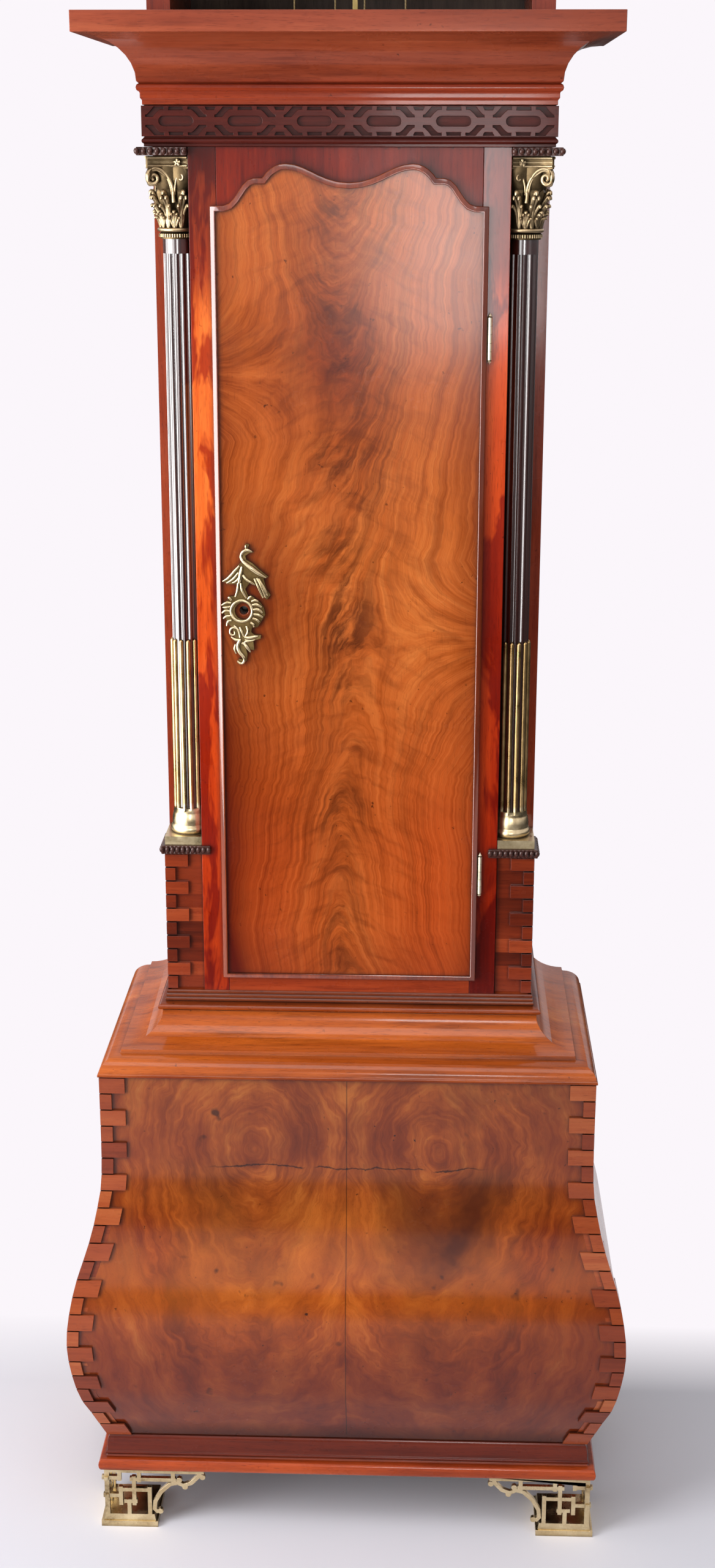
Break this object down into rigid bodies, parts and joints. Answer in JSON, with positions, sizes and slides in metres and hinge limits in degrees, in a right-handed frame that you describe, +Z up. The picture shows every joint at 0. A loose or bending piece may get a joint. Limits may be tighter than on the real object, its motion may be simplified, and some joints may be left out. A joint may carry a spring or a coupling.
{
  "type": "longcase clock",
  "caption": "Longcase clock without its hood: bombe base on pierced brass feet, trunk with shaped door and corner columns, cornice, and pendulum movement.",
  "frame": {"origin": "on the floor, at the middle of the whole clock's width and depth", "axes": "+Z up, -Y towards the front with the trunk door, +X to the viewer's right"},
  "size_m": [0.665, 0.3605, 2.328],
  "materials": {
    "mahogany": "old french polish, satin to glossy",
    "mahogany_flame": "book-matched flame veneer, french polished",
    "mahogany_dark": "old french polish, dark",
    "carved_mahogany": "carved, darkened polish",
    "oak": "raw, unpolished and grey with age",
    "brass": "aged cast brass",
    "steel": "dull, blued on the hands",
    "weight_metal": "dull grey metal",
    "bell_metal": "turned bell metal",
    "dial_brass": "matted and silvered brass",
    "gut": "twisted gut"
  },
  "bodies": {
    "case": {"frieze_fret": "mahogany_dark", "capital_right": "brass", "capital_left": "brass", "foot_front_right": "brass", "foot_front_left": "brass", "base_quoins_right": "mahogany", "base_quoins_left": "mahogany", "column_base_right": "brass", "column_base_left": "brass", "dial": "dial_brass", "movement_frame": "brass", "foot_back_right": "brass", "foot_back_left": "brass", "hinge_lower_frame_leaf": "brass", "hinge_upper_frame_leaf": "brass", "bell": "bell_metal", "column_shaft_right": "mahogany_dark", "column_shaft_left": "mahogany_dark", "base_top_moulding": "mahogany", "trunk_quoins_right": "mahogany", "trunk_quoins_left": "mahogany", "column_pad_right": "carved_mahogany", "column_pad_left": "carved_mahogany", "cornice": "mahogany", "backboard": "oak", "going_gut_line": "gut", "strike_gut_line": "gut", "trunk_top_rail": "mahogany_dark", "plinth_moulding": "mahogany", "base_front_panel": "mahogany_flame", "base_side_right": "mahogany", "base_side_left": "mahogany", "capital_block_right": "carved_mahogany", "capital_block_left": "carved_mahogany", "trunk_side_right": "mahogany_dark", "trunk_side_left": "mahogany_dark", "frieze_board": "mahogany_dark", "trunk_stile_right": "mahogany", "seatboard": "oak", "trunk_stile_left": "mahogany", "trunk_bottom_rail": "mahogany"},
    "door": {"door": "mahogany_flame", "door_moulding": "mahogany", "escutcheon": "brass", "lock_case": "steel", "hinge_lower_door_leaf": "brass", "hinge_upper_door_leaf": "brass"},
    "lock_bolt": {"lock_bolt": "brass"},
    "minute_hand": {"minute_hand": "steel"},
    "hour_hand": {"hour_hand": "steel"},
    "escape_wheel": {"escape_wheel": "brass"},
    "pendulum": {"pendulum": "brass"},
    "pallets": {"pallet_arbor": "steel"},
    "going_weight": {"going_weight": "weight_metal"},
    "strike_weight": {"strike_weight": "weight_metal"},
    "going_pulley": {"going_pulley": "brass"},
    "strike_pulley": {"strike_pulley": "brass"},
    "going_barrel": {"going_barrel": "brass"},
    "strike_barrel": {"strike_barrel": "brass"},
    "hammer": {"bell_hammer": "steel"}
  },
  "joints": [
    {"name": "door_hinge", "type": "hinge", "parent": "case", "child": "door", "pos_m": [0.1516, -0.06675, 1.13], "axis": [0, 0, 1], "range_deg": [0, 115]},
    {"name": "bolt_slide", "type": "slide", "parent": "door", "child": "lock_bolt", "axis": [-1, 0, 0], "range_m": [0, 0.006]},
    {"name": "minute_hand_turn", "type": "hinge", "parent": "case", "child": "minute_hand", "pos_m": [0, -0.04075, 1.998], "axis": [0, 1, 0], "continuous": true},
    {"name": "hour_hand_turn", "type": "hinge", "parent": "case", "child": "hour_hand", "pos_m": [0, -0.03475, 1.998], "axis": [0, 1, 0], "continuous": true},
    {"name": "escape_wheel_turn", "type": "hinge", "parent": "case", "child": "escape_wheel", "pos_m": [0, 0.04525, 2.036], "axis": [0, 1, 0], "continuous": true},
    {"name": "pendulum_swing", "type": "hinge", "parent": "case", "child": "pendulum", "pos_m": [0, 0.10475, 2.059], "axis": [0, 1, 0], "range_deg": [-3.5, 3.5]},
    {"name": "pallet_rock", "type": "hinge", "parent": "case", "child": "pallets", "pos_m": [0, 0.05725, 2.059], "axis": [0, 1, 0], "range_deg": [-3.5, 3.5]},
    {"name": "going_weight_lift", "type": "slide", "parent": "case", "child": "going_weight", "axis": [0, 0, 1], "range_m": [0, 1.25], "deforming": ["going_gut_line"]},
    {"name": "strike_weight_lift", "type": "slide", "parent": "case", "child": "strike_weight", "axis": [0, 0, 1], "range_m": [0, 1.25], "deforming": ["strike_gut_line"]},
    {"name": "going_pulley_roll", "type": "hinge", "parent": "going_weight", "child": "going_pulley", "pos_m": [0.0348, 0.03725, 0.563], "axis": [0, 1, 0], "range_deg": [0, 3260]},
    {"name": "strike_pulley_roll", "type": "hinge", "parent": "strike_weight", "child": "strike_pulley", "pos_m": [-0.0412, 0.03725, 0.563], "axis": [0, 1, 0], "range_deg": [0, 3260]},
    {"name": "going_barrel_turn", "type": "hinge", "parent": "case", "child": "going_barrel", "pos_m": [0.038, 0.04725, 1.93], "axis": [0, 1, 0], "range_deg": [0, 5680]},
    {"name": "strike_barrel_turn", "type": "hinge", "parent": "case", "child": "strike_barrel", "pos_m": [-0.038, 0.04725, 1.93], "axis": [0, 1, 0], "range_deg": [0, 5680]},
    {"name": "hammer_lift", "type": "hinge", "parent": "case", "child": "hammer", "pos_m": [0.062, 0.05125, 2.055], "axis": [0, 1, 0], "range_deg": [0, 18]}
  ],
  "couplings": [
    {"joint": "hour_hand_turn", "follows": "minute_hand_turn", "ratio": 0.083333},
    {"joint": "escape_wheel_turn", "follows": "minute_hand_turn", "ratio": 60},
    {"joint": "pallet_rock", "follows": "pendulum_swing", "ratio": 1},
    {"joint": "going_pulley_roll", "follows": "going_weight_lift", "rad_per_m": 45.249},
    {"joint": "strike_pulley_roll", "follows": "strike_weight_lift", "rad_per_m": 45.249},
    {"joint": "going_barrel_turn", "follows": "going_weight_lift", "rad_per_m": 79.051},
    {"joint": "strike_barrel_turn", "follows": "strike_weight_lift", "rad_per_m": 79.051}
  ]
}
